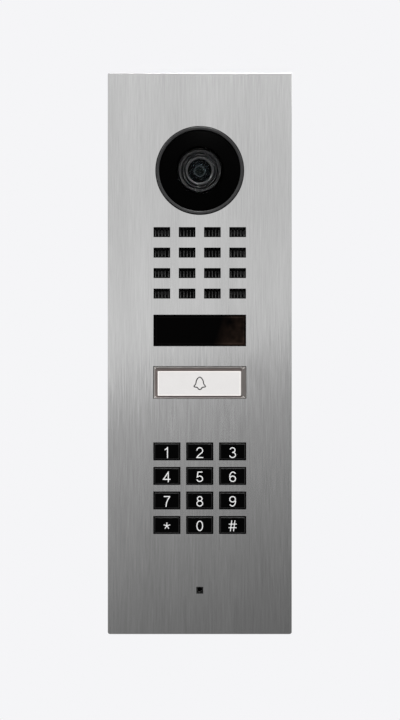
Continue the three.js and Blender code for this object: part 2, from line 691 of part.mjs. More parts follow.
keyPlaces.forEach((key) => add(key.name, keycap(key), BLACK_PLASTIC));
add("keypad_membrane", keypadMembrane(), SILICONE);
add("keypad_board", keypadBoard(), CIRCUIT_BOARD);

add("microphone_boot", microphoneBoot(), RUBBER);
add("microphone_capsule", microphoneCapsule(), BRIGHT_METAL);

// Panel coordinates to the part's own frame: y up becomes +Z, and z out of the wall becomes -Y.
panel.rotation.x = Math.PI / 2;
const intercom = new THREE.Group();
intercom.add(panel);

export default intercom;
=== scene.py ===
"""Looks of the door intercom panel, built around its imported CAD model.

Shapes are written in panel coordinates, in millimetres: x to the right, y up and z out of the wall. at() turns them
into the frame's metres, where the front faces -Y and +Z is up.
"""

import json
import math

import bmesh
import bpy
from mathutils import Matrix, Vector
from mathutils.geometry import delaunay_2d_cdt


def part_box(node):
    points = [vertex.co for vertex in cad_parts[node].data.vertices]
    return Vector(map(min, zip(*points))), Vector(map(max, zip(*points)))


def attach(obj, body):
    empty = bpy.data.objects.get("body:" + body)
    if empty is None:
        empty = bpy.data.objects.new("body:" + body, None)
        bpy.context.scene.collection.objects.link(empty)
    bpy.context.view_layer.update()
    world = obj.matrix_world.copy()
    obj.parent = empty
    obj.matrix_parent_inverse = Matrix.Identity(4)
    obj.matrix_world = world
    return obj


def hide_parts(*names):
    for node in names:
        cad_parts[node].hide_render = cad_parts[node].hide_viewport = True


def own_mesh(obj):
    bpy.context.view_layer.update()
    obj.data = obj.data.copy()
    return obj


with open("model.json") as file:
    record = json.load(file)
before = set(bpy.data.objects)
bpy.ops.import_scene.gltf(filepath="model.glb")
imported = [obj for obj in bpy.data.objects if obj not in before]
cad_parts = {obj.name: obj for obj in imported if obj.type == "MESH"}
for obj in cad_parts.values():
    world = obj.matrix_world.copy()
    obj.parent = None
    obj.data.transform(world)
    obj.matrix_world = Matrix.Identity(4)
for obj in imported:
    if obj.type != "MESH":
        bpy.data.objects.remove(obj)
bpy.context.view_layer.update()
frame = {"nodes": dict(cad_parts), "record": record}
MM = 0.001
ROOT = "panel_body"
GAP = 0.3  # assembly gap between pieces, in millimetres


def at(x, y, z):
    return Vector((x, -z, y)) * MM


class Place:
    """A CAD node's box in panel coordinates."""

    def __init__(self, node):
        low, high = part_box(node)
        self.left, self.right = low.x / MM, high.x / MM
        self.bottom, self.top = low.z / MM, high.z / MM
        self.back, self.front = -high.y / MM, -low.y / MM
        self.x, self.y = (self.left + self.right) / 2, (self.bottom + self.top) / 2
        self.width, self.height = self.right - self.left, self.top - self.bottom


# ------------------------------------------------------------------ outlines


def rounded(points, closed=True, steps=4, support=0.0):
    """A path whose corners are rounded: each point is (x, y) or (x, y, radius). Support points are added next to
    each arc, so that smooth shading leaves the flats beside it flat."""
    path = []
    count = len(points)
    for i, point in enumerate(points):
        here = Vector(point[:2])
        radius = point[2] if len(point) > 2 else 0
        if not radius or (not closed and i in (0, count - 1)):
            path.append(here)
            continue
        before, after = Vector(points[i - 1][:2]), Vector(points[(i + 1) % count][:2])
        back, on = (before - here).normalized(), (after - here).normalized()
        half = back.angle(on) / 2
        reach = min(
            radius / math.tan(half), 0.45 * (before - here).length, 0.45 * (after - here).length
        )
        radius = reach * math.tan(half)
        centre = here + (back + on).normalized() * (radius / math.sin(half))
        first, last = here + back * reach - centre, here + on * reach - centre
        turn = first.angle_signed(last)
        if support:
            path.append(centre + first + back * support)
        for k in range(steps + 1):
            a = -turn * k / steps
            path.append(
                centre
                + Vector(
                    (
                        first.x * math.cos(a) - first.y * math.sin(a),
                        first.x * math.sin(a) + first.y * math.cos(a),
                    )
                )
            )
        if support:
            path.append(centre + last + on * support)
    return path


def rectangle(width, height, x=0.0, y=0.0, radius=0.0, upper=None, steps=5):
    upper = radius if upper is None else upper
    w, h = width / 2, height / 2
    return rounded(
        [(x - w, y - h, radius), (x + w, y - h, radius), (x + w, y + h, upper), (x - w, y + h, upper)],
        steps=steps,
    )


def circle(radius, x=0.0, y=0.0, count=48):
    return [
        Vector((x + radius * math.cos(a), y + radius * math.sin(a)))
        for a in (2 * math.pi * i / count for i in range(count))
    ]


def grown(contour, distance):
    """A counter-clockwise contour moved outwards."""
    moved = []
    for i, here in enumerate(contour):
        before, after = contour[i - 1], contour[(i + 1) % len(contour)]
        a, b = (here - before).normalized(), (after - here).normalized()
        m = Vector((a.y + b.y, -a.x - b.x))
        moved.append(here + m * (distance / max(0.3, 1 + a.dot(b))))
    return moved


def edge_steps(bevel, steps=4):
    """(inset, drop) pairs of a round edge, from the face to the wall."""
    if not bevel:
        return [(0, 0)]
    angles = [math.pi / 2 * k / steps for k in range(steps + 1)]
    return [(bevel * (1 - math.sin(a)), bevel * (1 - math.cos(a))) for a in angles]


# ------------------------------------------------------------------ meshes


class Shell:
    """A closed surface made of contours at constant z, walls between them and flat caps."""

    def __init__(self):
        self.points, self.faces, self.flat, self.accent = [], [], [], []

    def ring(self, contour, z):
        start = len(self.points)
        self.points += [(p[0], p[1], z) for p in contour]
        return list(range(start, len(self.points)))

    def wall(self, *rings):
        for a, b in zip(rings, rings[1:]):
            for i in range(len(a)):
                j = (i + 1) % len(a)
                self.faces.append((a[i], a[j], b[j], b[i]))

    def cap(self, outer, holes=()):
        rings = [outer, *holes]
        index = [i for ring in rings for i in ring]
        flat = [Vector(self.points[i][:2]) for i in index]
        loops, start = [], 0
        for ring in rings:
            loops.append(list(range(start, start + len(ring))))
            start += len(ring)
        _, _, triangles, origin, _, inside = delaunay_2d_cdt(flat, [], loops, 0, 1e-7)
        for triangle, faces in zip(triangles, inside):
            if faces == [0]:
                self.flat.append(len(self.faces))
                self.faces.append(tuple(index[origin[v][0]] for v in triangle))

    def edged(self, contour, back, front, bevel, hole=False):
        """Rings of a wall from back to front with round edges, and its first and last ring."""
        sign = 1 if hole else -1
        turns = edge_steps(bevel)
        rings = [self.ring(grown(contour, sign * i), back + d) for i, d in turns]
        rings += [self.ring(grown(contour, sign * i), front - d) for i, d in reversed(turns)]
        self.wall(*rings)
        return rings[0], rings[-1]

    def plate(self, outer, back, front, bevel, holes=(), hole_bevel=None):
        """A flat sheet with holes."""
        hole_bevel = bevel if hole_bevel is None else hole_bevel
        ends = [self.edged(outer, back, front, bevel)]
        ends += [self.edged(hole, back, front, hole_bevel, hole=True) for hole in holes]
        for side in (0, 1):
            self.cap(ends[0][side], [e[side] for e in ends[1:]])
        return self

    def loft(self, levels, accent=()):
        """Contours of one length from back to front, closed with a cap at each end. The walls from the levels in
        accent take the piece's second material."""
        rings = [self.ring(contour, z) for contour, z in levels]
        side = len(rings[0])
        self.wall(*rings)
        self.accent += [level % (len(levels) - 1) * side + i for level in accent for i in range(side)]
        self.cap(rings[0])
        self.cap(rings[-1])
        return self

    def turn(self, profile, x=0.0, y=0.0, segments=96):
        """A profile of (radius, z) turned about the axis through (x, y). It ends on the axis, or is closed."""
        open_ended = profile[0][0] < 1e-6 and profile[-1][0] < 1e-6
        rings = []
        for radius, z in profile:
            if radius < 1e-6:
                rings.append([len(self.points)])
                self.points.append((x, y, z))
            else:
                rings.append(self.ring(circle(radius, x, y, segments), z))
        pairs = list(zip(rings, rings[1:]))
        if not open_ended:
            pairs.append((rings[-1], rings[0]))
        for a, b in pairs:
            for i in range(segments):
                j = (i + 1) % segments
                corners = (a[i % len(a)], a[j % len(a)], b[j % len(b)], b[i % len(b)])
                self.faces.append(tuple(dict.fromkeys(corners)))
        return self


def piece(name, shell, material, slot, body=ROOT, replaces=(), accent=None, sharp=40):
    """An object made of a shell or of several, riding on a CAD body."""
    mesh = bpy.data.meshes.new(name)
    build = bmesh.new()
    for part in shell if isinstance(shell, (list, tuple)) else [shell]:
        vertices = [build.verts.new(at(*p)) for p in part.points]
        flat = set(part.flat)
        for i, face in enumerate(part.faces):
            made = build.faces.new([vertices[v] for v in face])
            made.smooth = i not in flat
            made.material_index = int(i in part.accent)
    bmesh.ops.remove_doubles(build, verts=build.verts, dist=1e-8)
    bmesh.ops.recalc_face_normals(build, faces=build.faces)
    for edge in build.edges:
        if len(edge.link_faces) == 2 and edge.calc_face_angle(0) > math.radians(sharp):
            edge.smooth = False
    build.to_mesh(mesh)
    build.free()
    made = bpy.data.objects.new(name, mesh)
    bpy.context.scene.collection.objects.link(made)
    mesh.materials.append(material)
    if accent:
        mesh.materials.append(accent)
    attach(made, body)
    if replaces:
        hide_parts(*([replaces] if isinstance(replaces, str) else replaces))
    return made


# ------------------------------------------------------------------ printed marks


def arc(x, y, rx, ry, start, end, steps=14):
    angles = [math.radians(start + (end - start) * k / steps) for k in range(steps + 1)]
    return [(x + rx * math.cos(a), y + ry * math.sin(a)) for a in angles]


def stroke_shapes(path, width, closed=False):
    """Convex counter-clockwise shapes that together cover a pen stroke along a path, with mitred corners."""
    points = [Vector(p) for p in path]
    count = len(points)
    shapes = []
    legs = [(points[i], points[(i + 1) % count]) for i in range(count if closed else count - 1)]
    sides = []
    for start, end in legs:
        along = (end - start).normalized()
        side = Vector((-along.y, along.x)) * width / 2
        sides.append(side)
        shapes.append((start - side, end - side, end + side, start + side))
    for i in range(0 if closed else 1, len(legs)):
        corner = legs[i][0]
        first, second = sides[i - 1], sides[i]
        turn = first.x * second.y - first.y * second.x
        if abs(turn) < 1e-6 * width**2:
            continue
        if turn > 0:
            first, second = -first, -second
        middle = (first + second).normalized()
        tip = middle * min(width, (width / 2) / max(0.3, middle.dot(second.normalized())))
        shapes.append((corner, corner + first, corner + tip, corner + second))
    return [ccw(shape) for shape in shapes]


def ccw(shape):
    """The same corners in counter-clockwise order."""
    area = sum(a.x * b.y - a.y * b.x for a, b in zip(shape, (*shape[1:], shape[0])))
    return shape if area > 0 else shape[::-1]


def print_shell(quads, back, front):
    """A thin closed body over the union of the quads."""
    points = [corner for quad in quads for corner in quad]
    loops = [[4 * i, 4 * i + 1, 4 * i + 2, 4 * i + 3] for i in range(len(quads))]
    flat, _, triangles, _, _, inside = delaunay_2d_cdt(points, [], loops, 0, 1e-5)
    kept = [t for t, faces in zip(triangles, inside) if faces]
    shell = Shell()
    low, high = shell.ring(flat, back), shell.ring(flat, front)
    edges = {}
    for t in kept:
        for side, ring in ((1, high), (-1, low)):
            shell.flat.append(len(shell.faces))
            shell.faces.append(tuple(ring[v] for v in t[::side]))
        for i in range(3):
            edge = (t[i], t[(i + 1) % 3])
            edges[tuple(sorted(edge))] = edges.get(tuple(sorted(edge)), []) + [edge]
    for found in edges.values():
        if len(found) == 1:
            a, b = found[0]
            shell.flat.append(len(shell.faces))
            shell.faces.append((high[a], low[a], low[b], high[b]))
    used = sorted({v for face in shell.faces for v in face})
    renumber = {old: new for new, old in enumerate(used)}
    shell.points = [shell.points[v] for v in used]
    shell.faces = [tuple(renumber[v] for v in face) for face in shell.faces]
    return shell


SIX_BOWL = (arc(0.005, 0.315, 0.262, 0.25, 0, 342, 19), True)
SIX_ARM = (arc(0.03, 0.5, 0.295, 0.435, 42, 184, 14), False)
# Each mark is a list of (path, closed), in a box one unit high.
MARKS = {
    "0": [(arc(0, 0.5, 0.262, 0.435, 0, 345, 23), True)],
    "1": [([(0.055, 0), (0.055, 1.0)], False), ([(0.05, 0.93), (-0.05, 0.82), (-0.19, 0.74)], False)],
    "2": [(arc(0.0, 0.675, 0.255, 0.26, 176, -38, 14) + [(-0.13, 0.24), (-0.262, 0.065), (0.3, 0.065)], False)],
    "3": [
        (arc(-0.01, 0.725, 0.22, 0.21, 165, -96, 14), False),
        (arc(-0.01, 0.295, 0.265, 0.23, 96, -168, 16), False),
    ],
    "4": [([(0.13, 0), (0.13, 0.93), (-0.31, 0.265), (0.33, 0.265)], False)],
    "5": [([(0.245, 0.935), (-0.165, 0.935), (-0.23, 0.475)] + arc(-0.005, 0.315, 0.262, 0.25, 135, -166, 16), False)],
    "6": [SIX_BOWL, SIX_ARM],
    "7": [([(-0.28, 0.935), (0.25, 0.935), (0.25, 0.9), (0.07, 0.62), (-0.04, 0.33), (-0.08, 0)], False)],
    "8": [(arc(0, 0.735, 0.212, 0.2, 0, 342, 19), True), (arc(0, 0.3, 0.262, 0.235, 0, 342, 19), True)],
    "9": [([(-x, 1 - y) for x, y in path], closed) for path, closed in (SIX_BOWL, SIX_ARM)],
    "star": [
        ([(0, 0.5), (0.31 * math.sin(math.radians(a)), 0.5 + 0.31 * math.cos(math.radians(a)))], False)
        for a in (0, 72, 144, 216, 288)
    ],
    "hash": [
        ([(-0.21, 0), (-0.08, 1)], False),
        ([(0.08, 0), (0.21, 1)], False),
        ([(-0.35, 0.66), (0.37, 0.66)], False),
        ([(-0.37, 0.33), (0.35, 0.33)], False),
    ],
}


def mark_quads(paths, height, pen, x, y):
    quads = []
    for path, closed in paths:
        scaled = [(x + px * height, y + (py - 0.5) * height) for px, py in path]
        quads += stroke_shapes(scaled, pen, closed)
    return quads


# ------------------------------------------------------------------ materials


def add_node(tree, kind, inputs=None, **settings):
    """A node whose inputs take a value each, or a link from another node's output."""
    made = tree.nodes.new(kind)
    for key, value in settings.items():
        setattr(made, key, value)
    for key, value in (inputs or {}).items():
        # Some nodes hold inputs of one name for several data types, of which one is enabled.
        found = [s for s in made.inputs if s.name == key and s.enabled]
        socket = found[0] if found else made.inputs[key]
        if isinstance(value, bpy.types.NodeSocket):
            tree.links.new(value, socket)
        else:
            socket.default_value = value
    return made


class Finish:
    """A node material under construction."""

    def __init__(self, name, **sockets):
        self.material = bpy.data.materials.new(name)
        self.material.use_nodes = True
        self.tree = self.material.node_tree
        self.shader = self.tree.nodes["Principled BSDF"]
        self.place = self.node("ShaderNodeTexCoord").outputs["Object"]
        for socket, value in sockets.items():
            self.shader.inputs[socket.replace("_", " ")].default_value = value

    def node(self, kind, inputs=None, **settings):
        return add_node(self.tree, kind, inputs, **settings)

    def noise(self, scale, detail=2.0, stretch=(1, 1, 1), roughness=0.5):
        """Noise with so many bumps to a millimetre, in the range 0 to 1."""
        spread = self.node("ShaderNodeMapping", {"Vector": self.place, "Scale": [s / MM for s in stretch]})
        inputs = {"Vector": spread.outputs[0], "Scale": scale, "Detail": detail, "Roughness": roughness}
        return self.node("ShaderNodeTexNoise", inputs).outputs["Fac"]

    def between(self, value, low, high, start=0.3, end=0.7):
        inputs = {"Value": value, "From Min": start, "From Max": end, "To Min": low, "To Max": high}
        return self.node("ShaderNodeMapRange", inputs).outputs[0]

    def mix(self, factor, first, second):
        made = self.node("ShaderNodeMix", {"Factor": factor, "A": first, "B": second}, data_type="RGBA")
        return next(s for s in made.outputs if s.enabled)

    def sum(self, first, *others):
        for other in others:
            first = self.node("ShaderNodeMath", {0: first, 1: other}, operation="ADD").outputs[0]
        return first

    def use(self, socket, value):
        self.tree.links.new(value, self.shader.inputs[socket])

    def bump(self, height, distance):
        inputs = {"Height": height, "Distance": distance * MM, "Strength": 1.0}
        self.use("Normal", self.node("ShaderNodeBump", inputs).outputs[0])


def shade(colour, factor):
    return (*(min(1.0, c * factor) for c in colour[:3]), 1.0)


def moulded(name, colour, roughness, grain=6.0, depth=0.004, vary=0.12, level=0.5):
    """Moulded plastic or rubber: a faint mottling, uneven gloss and a fine surface grain."""
    f = Finish(name, Specular_IOR_Level=level)
    cloud = f.noise(0.25, 3)
    fine = f.noise(grain, 2)
    f.use("Base Color", f.mix(f.between(cloud, 0, 1), shade(colour, 1 - vary), shade(colour, 1 + vary)))
    f.use("Roughness", f.between(fine, roughness * 0.9, roughness * 1.12))
    f.bump(fine, depth)
    return f.material


def plated(name, colour, roughness):
    """Plated or turned metal with small blotches and fine marks."""
    f = Finish(name, Metallic=1.0)
    cloud = f.noise(0.4, 4)
    fine = f.noise(7.2, 2)
    f.use("Base Color", f.mix(f.between(cloud, 0, 1), shade(colour, 0.92), shade(colour, 1.08)))
    f.use("Roughness", f.between(fine, roughness * 0.8, roughness * 1.25))
    f.bump(fine, 0.003)
    return f.material


STREAK_CONTRAST = 0.08
STREAK_LEAN = 0.006


def brushed(name, colour, roughness=0.1, anisotropy=1.0):
    """Steel brushed up and down: long streaks that vary in tone and gloss, and lean the surface a little."""
    f = Finish(name, Metallic=1.0, Anisotropic=anisotropy)
    broad = f.noise(0.12, 2, (1, 1, 0.08))
    streak = f.noise(1.0, 3, (1.5, 1.5, 0.05), 0.6)
    short = f.noise(1.0, 2, (2.6, 2.6, 0.11), 0.5)
    hair = f.noise(1.0, 2, (7, 7, 0.05), 0.6)
    tone = f.sum(streak, short, hair, broad)
    low, high = shade(colour, 1 - STREAK_CONTRAST), shade(colour, 1 + STREAK_CONTRAST)
    f.use("Base Color", f.mix(f.between(tone, 0, 1, 1.6, 2.4), low, high))
    f.use("Roughness", f.between(hair, roughness * 0.94, roughness * 1.06))
    wave = f.sum(streak, f.noise(1.0, 2, (1.9, 1.9, 0.07), 0.6))
    lean = f.between(wave, -STREAK_LEAN, STREAK_LEAN, 0.5, 1.5)
    roll = f.between(hair, -STREAK_LEAN, STREAK_LEAN, 0.2, 0.8)
    push = f.node("ShaderNodeCombineXYZ", {0: roll, 2: lean}).outputs[0]
    flat = f.node("ShaderNodeNewGeometry").outputs["Normal"]
    across = f.node("ShaderNodeVectorMath", {0: flat, 1: (0, 0.02, 1)}, operation="CROSS_PRODUCT").outputs[0]
    # The highlight spreads across the brushing, on every upright face.
    f.use("Tangent", across)
    bent = f.node("ShaderNodeVectorMath", {0: flat, 1: push}, operation="ADD").outputs[0]
    f.use("Normal", f.node("ShaderNodeVectorMath", {0: bent}, operation="NORMALIZE").outputs[0])
    return f.material


def clear(name, tint, roughness, ior):
    """Clear moulded plastic or glass with faint flow marks."""
    f = Finish(name, Transmission_Weight=1.0, IOR=ior)
    flow = f.noise(0.15, 2)
    f.use("Base Color", f.mix(flow, shade(tint, 0.99), shade(tint, 1.0)))
    f.use("Roughness", f.between(flow, roughness, roughness * 1.5))
    return f.material


def circuit_board(name):
    """Green solder mask over copper tracks."""
    f = Finish(name, Specular_IOR_Level=0.5)
    spread = f.node("ShaderNodeMapping", {"Vector": f.place, "Rotation": (math.pi / 2, 0, 0), "Scale": (1 / MM,) * 3})
    brick = f.node(
        "ShaderNodeTexBrick",
        {
            "Vector": spread.outputs[0],
            "Color1": (1, 1, 1, 1),
            "Color2": (0.55, 0.55, 0.55, 1),
            "Mortar": (0, 0, 0, 1),
            "Scale": 0.28,
            "Mortar Size": 0.035,
            "Brick Width": 1.7,
            "Row Height": 0.32,
        },
    )
    cloud = f.noise(0.3, 2)
    mask = f.mix(f.between(cloud, 0, 1), (0.008, 0.062, 0.028, 1), (0.012, 0.082, 0.036, 1))
    f.use("Base Color", f.mix(brick.outputs["Fac"], mask, (0.02, 0.13, 0.05, 1)))
    f.use("Roughness", f.between(f.noise(3), 0.32, 0.42))
    f.bump(brick.outputs["Fac"], 0.03)
    return f.material


def window_black(name, dark=(0.0005, 0.0004, 0.0004), painted_sheen=(0.014, 0.0085, 0.006)):
    """Nearly black infrared plastic, with a painted brown sheen towards its right end."""
    f = Finish(name, Specular_IOR_Level=0.012)
    split = f.node("ShaderNodeSeparateXYZ", {0: f.place})
    slant = f.node("ShaderNodeMath", {0: split.outputs[2], 1: -0.35, 2: split.outputs[0]}, operation="MULTIPLY_ADD")
    along = f.between(slant.outputs[0], 0, 1, 4 * MM, 13 * MM)
    cloud = f.between(f.noise(0.18, 3), 0, 1, 0.35, 0.65)
    both = f.node("ShaderNodeMath", {0: along, 1: cloud}, operation="MULTIPLY").outputs[0]
    # The brown mixed in towards the right end is a painted sheen, set by position and noise.
    f.use("Base Color", f.mix(both, shade(dark, 1), shade(painted_sheen, 1)))
    f.use("Roughness", f.between(cloud, 0.04, 0.07, 0, 1))
    return f.material


def lens_glass(name, tint):
    """A lens with an anti-reflection coating, which leaves a faint bluish sheen."""
    f = Finish(name, IOR=1.16, Transmission_Weight=1.0, Thin_Film_Thickness=330, Thin_Film_IOR=1.18)
    f.use("Base Color", f.mix(f.noise(0.2, 2), shade(tint, 0.9), shade(tint, 1.1)))
    f.use("Roughness", f.between(f.noise(0.5), 0.02, 0.035))
    return f.material


STEEL = brushed("Brushed_steel", (0.62, 0.62, 0.62))
HOUSING_STEEL = brushed("Brushed_housing_steel", (0.55, 0.55, 0.55), 0.3, 0.7)
BRIGHT = plated("Zinc_plated", (0.62, 0.62, 0.6), 0.28)
BRASS = plated("Plated_can", (0.6, 0.45, 0.2), 0.3)
FERRITE = plated("Magnet_cup", (0.2, 0.2, 0.21), 0.45)
MATT_BLACK = moulded("Black_plastic", (0.012, 0.012, 0.013), 0.5, 5.0, 0.01, level=0.3)
KEY_BLACK = moulded("Key_black", (0.0008, 0.0008, 0.0008), 0.22, 5.0, 0.002, level=0.015)
KEY_RIM_HIGHLIGHT = moulded("Key_rim_painted_highlight", (0.02, 0.02, 0.02), 0.3, 5.0, 0.002, level=0.2)
WINDOW_BLACK = window_black("Gloss_black_window_painted_sheen")
WINDOW_LINE_HIGHLIGHT = window_black("Window_line_painted_highlight", (0.0024, 0.002, 0.002), (0.034, 0.022, 0.017))
MASK_BLACK = moulded("Mask_black", (0.0004, 0.0004, 0.0004), 0.4, 2.0, 0.001, level=0.01)
SEAL_BLACK = moulded("Seal_black", (0.002, 0.002, 0.002), 0.7, 8.0, 0.01, level=0.05)
GRILLE_BLACK = moulded("Grille_black", (0.001, 0.001, 0.001), 0.6, 5.0, 0.01, level=0.05)
RIB_PAINTED_LIGHT = moulded("Grille_rib_painted_light", (0.065, 0.065, 0.065), 0.5, 5.0, 0.01, 0.35, level=0.2)
BARREL_GREY = moulded("Lens_ring_grey", (0.1, 0.1, 0.104), 0.4, 4.0, 0.003)
BARREL_DARK = moulded("Lens_barrel_inside", (0.004, 0.004, 0.004), 0.5, 4.0, 0.003, level=0.1)
BEZEL_GREY = moulded("Bezel_grey", (0.017, 0.017, 0.0175), 0.32, 4.0, 0.003, level=0.35)
TRIM_GREY = moulded("Lens_trim", (0.0105, 0.0105, 0.011), 0.4, 1.6, 0.02, 0.4, level=0.35)
BARREL_BLACK = moulded("Lens_barrel_black", (0.045, 0.045, 0.046), 0.3, 4.0, 0.003, level=0.5)
SMOKE = moulded("Smoke_plastic", (0.19, 0.175, 0.165), 0.35, 3.0, 0.004)
EDGE_LIGHT = moulded("Clear_edge_frosted", (0.19, 0.175, 0.167), 0.35, 3.0, 0.004)
EDGE_PAINTED_SHADE = moulded("Smoke_edge_painted_shade", (0.085, 0.076, 0.071), 0.35, 3.0, 0.004)
MITRE_HIGHLIGHT = moulded("Clear_mitre_painted_highlight", (0.42, 0.4, 0.385), 0.3, 3.0, 0.004)
GROOVE_PAINTED_SHADE = moulded("Smoke_groove_painted_shade", (0.125, 0.1, 0.092), 0.4, 3.0, 0.004)
WHITE = moulded("White_film", (0.565, 0.553, 0.546), 0.6, 4.0, 0.002, 0.012)
BORDER_HIGHLIGHT_WHITE = moulded("White_border_painted_highlight", (0.72, 0.69, 0.665), 0.6, 4.0, 0.002, 0.012)
PRINT_WHITE = moulded("Printed_white", (0.6, 0.6, 0.6), 0.5, 6.0, 0.001, 0.04)
PRINT_GREY = moulded("Printed_grey", (0.015, 0.015, 0.015), 0.6, 6.0, 0.001, 0.1)
RUBBER = moulded("Black_rubber", (0.012, 0.012, 0.012), 0.75, 8.0, 0.012)
SILICONE = moulded("Grey_silicone", (0.16, 0.165, 0.17), 0.6, 6.0, 0.006)
CONE_PAPER = moulded("Cone_paper", (0.02, 0.02, 0.022), 0.85, 2.5, 0.03, 0.2)
CHIP = moulded("Chip_package", (0.015, 0.015, 0.016), 0.5, 8.0, 0.005)
GREEN_PLASTIC = moulded("Terminal_green", (0.03, 0.2, 0.07), 0.45, 5.0, 0.005)
FLEX = moulded("Flex_film", (0.42, 0.17, 0.03), 0.35, 0.5, 0.01)
BOARD = circuit_board("Solder_mask")
CLEAR = clear("Clear_cover", (0.97, 0.975, 0.98), 0.02, 1.08)
LENS = lens_glass("Coated_lens", (0.5, 0.55, 0.56))

CAD_FINISH = {
    "brushed_steel": HOUSING_STEEL,
    "bright_metal": BRIGHT,
    "brass_metal": BRASS,
    "black_plastic": MATT_BLACK,
    "gloss_black": WINDOW_BLACK,
    "grey_plastic": TRIM_GREY,
    "smoke_plastic": SMOKE,
    "clear_plastic": CLEAR,
    "coated_glass": LENS,
    "white_film": WHITE,
    "rubber": RUBBER,
    "silicone": SILICONE,
    "circuit_board": BOARD,
    "paper_cone": CONE_PAPER,
    "ferrite": FERRITE,
    "flex_film": FLEX,
    "chip": CHIP,
    "terminal_green": GREEN_PLASTIC,
}
for part in frame["record"]["subparts"]:
    node = frame["nodes"][part["node"]]
    node.data.materials.clear()
    node.data.materials.append(CAD_FINISH[part["material_slot"]])

# ------------------------------------------------------------------ front plate

plate = Place("front_plate")
PLATE_BACK = 28.0
FLANGE_FRONT = PLATE_BACK - GAP  # the front of every flange that stands behind the plate
FACE = plate.front  # the plate's front face
CAMERA_OPENING = 17.7
MIC_OPENING = 2.8
camera = Place("camera_bezel")
speaker = Place("speaker_grille")
window = Place("sensor_window")
button = Place("call_button_cap")
mic = Place("microphone_capsule")
KEYS = {name.removeprefix("key_"): Place(name) for name in frame["nodes"] if name.startswith("key_")}
KEY_OPENING = (11.0, 7.25)
OPEN = 0.1  # how much wider the sharp-edged openings are drawn than in the CAD
SLOT = (6.7, 4.0)
SLOT_PITCH = (10.3, 8.35)
WINDOW_OPENING = (37.7, 12.7)
BUTTON_OPENING = (38.0, 13.3)
slots = [
    (speaker.x + (i - 1.5) * SLOT_PITCH[0], speaker.y + (j - 1.5) * SLOT_PITCH[1])
    for j in range(4)
    for i in range(4)
]

plate_holes = [circle(CAMERA_OPENING, camera.x, camera.y, 128)]
plate_holes += [rectangle(SLOT[0] + OPEN, SLOT[1] + OPEN, x, y, 0.12, steps=2) for x, y in slots]
plate_holes.append(rectangle(WINDOW_OPENING[0] + OPEN, WINDOW_OPENING[1] + 2 * OPEN, window.x, window.y, 0.2, steps=3))
plate_holes.append(rectangle(*BUTTON_OPENING, button.x, button.y, 0.2, steps=3))
plate_holes += [rectangle(KEY_OPENING[0] + OPEN, KEY_OPENING[1] + OPEN, k.x, k.y, 0.15, steps=2) for k in KEYS.values()]
plate_holes.append(rectangle(MIC_OPENING, MIC_OPENING, mic.x, mic.y, 0.12, steps=2))
plate_sheet = Shell().plate(
    rectangle(plate.width, plate.height, 0, 0, 0.9, 0.4), PLATE_BACK, FACE, 0.06, plate_holes, 0
)
STUD_X, STUD_Y = 27, 97  # the four studs behind the plate, which take the chassis screws
stud = [(1.65, plate.back), (2.55, plate.back), (2.75, plate.back + 0.2), (2.75, 28.5), (1.65, 28.5)]
studs = [Shell().turn(stud, sx * STUD_X, sy * STUD_Y, 40) for sx in (-1, 1) for sy in (-1, 1)]
piece("Front_plate", [plate_sheet, *studs], STEEL, "brushed_steel", replaces="front_plate")

# ------------------------------------------------------------------ camera


def turned(name, profile, place, material, slot, segments=128, **more):
    """A piece turned about the axis of a place that runs out of the wall."""
    return piece(name, Shell().turn(profile, place.x, place.y, segments), material, slot, **more)


bezel = rounded(
    [
        (15, camera.back), (17.4, camera.back), (17.4, FACE + GAP), (17.72, FACE + GAP, 0.1),
        (17.72, camera.front, 0.3), (16.6, camera.front - 0.2, 0.3), (16.55, 29.3), (15, 29.3),
    ],
    support=0.02,
)
turned("Camera_bezel", bezel, camera, BEZEL_GREY, "grey_plastic", replaces="camera_bezel")


def cap_arc(rim_radius, rim, sag, steps):
    """Points of a spherical cap, from its rim to the axis."""
    radius = (rim_radius**2 + sag**2) / (2 * sag)
    half = math.asin(rim_radius / radius)
    return [
        (radius * math.sin(half * (1 - i / steps)), rim + sag - radius * (1 - math.cos(half * (1 - i / steps))))
        for i in range(steps + 1)
    ]


# A black ring on the plate round the bezel is painted shadow, standing in for the dark gap between bezel and plate.
bezel_shadow_ring = rounded(
    [(17.75, FACE + 0.03), (18.1, FACE + 0.03, 0.05), (18.1, FACE + 0.7, 0.15), (17.75, FACE + 0.9, 0.05)],
    support=0.01,
)
turned("Bezel_shadow_ring", bezel_shadow_ring, camera, SEAL_BLACK, "rubber")

# The cover is clear in the middle and has a black band printed round it.
dome = Place("camera_dome")
CLEAR_EDGE = 9.6
COVER_RIM = 30.7
outside = cap_arc(16.3, COVER_RIM, dome.front - COVER_RIM, 40)
inside = cap_arc(15.1, COVER_RIM, 1.25, 40)
middle = [p for p in inside[::-1] if p[0] < CLEAR_EDGE] + [p for p in outside if p[0] < CLEAR_EDGE]
turned("Camera_cover", middle, camera, CLEAR, "clear_plastic", replaces="camera_dome")
band = [p for p in inside[::-1] if p[0] > CLEAR_EDGE]
band += [(15.1, dome.back), (16.2, dome.back), (16.3, dome.back + 0.1)]
band += [p for p in outside if p[0] > CLEAR_EDGE]
turned("Cover_band", band, camera, MASK_BLACK, "gloss_black")
bond = [(15.05, 29.32), (16.5, 29.32), (16.5, 29.57), (15.05, 29.57)]
turned("Cover_bond", bond, camera, SEAL_BLACK, "rubber")

mask = rounded(
    [(9.08, 27.4), (14.7, 27.4), (14.7, 28.6, 0.1), (9.3, 28.6, 0.1), (9.3, 27.7), (9.08, 27.7)], support=0.02
)
turned("Camera_mask", mask, camera, MASK_BLACK, "gloss_black", replaces="camera_mask")

trim = rounded(
    [(6.4, 24), (9, 24), (9, 28.3, 0.15), (8.6, 28.9, 0.2), (7.5, 28.6, 0.2), (6.9, 29.3, 0.2), (6.4, 29.1, 0.1)],
    support=0.02,
)
turned("Lens_trim_ring", trim, camera, TRIM_GREY, "grey_plastic", 96, replaces="lens_trim_ring")

